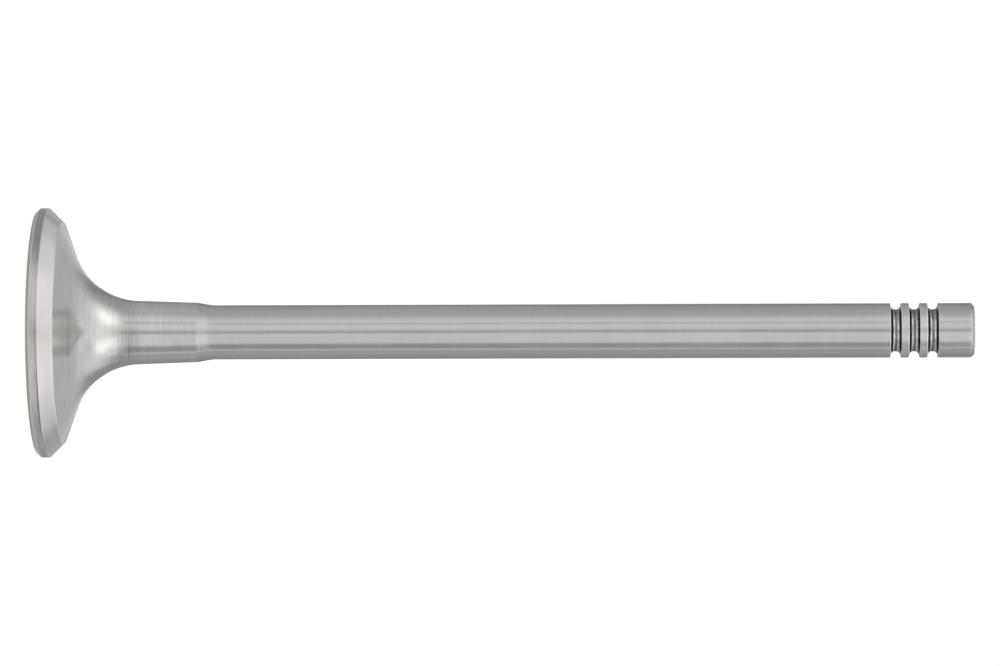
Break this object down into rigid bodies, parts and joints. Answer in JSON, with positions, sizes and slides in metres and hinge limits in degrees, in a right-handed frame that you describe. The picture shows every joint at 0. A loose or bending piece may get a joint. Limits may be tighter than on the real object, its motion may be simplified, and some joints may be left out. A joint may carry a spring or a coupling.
{
  "type": "engine valve",
  "caption": "Poppet valve for an engine: round head with a conical seat, flared neck, ground stem and collet grooves near the tip.",
  "frame": {"origin": "centre of the flat combustion face of the head, which is the valve's lowest face", "axes": "+Z along the stem, from the head towards the tip; the valve is round about Z, so X and Y are alike"},
  "size_m": [0.0274, 0.0274, 0.1026],
  "materials": {
    "valve_steel": "turned head and neck, ground seat, stem and tip"
  },
  "bodies": {
    "root": {"engine_valve": "valve_steel"}
  },
  "joints": []
}
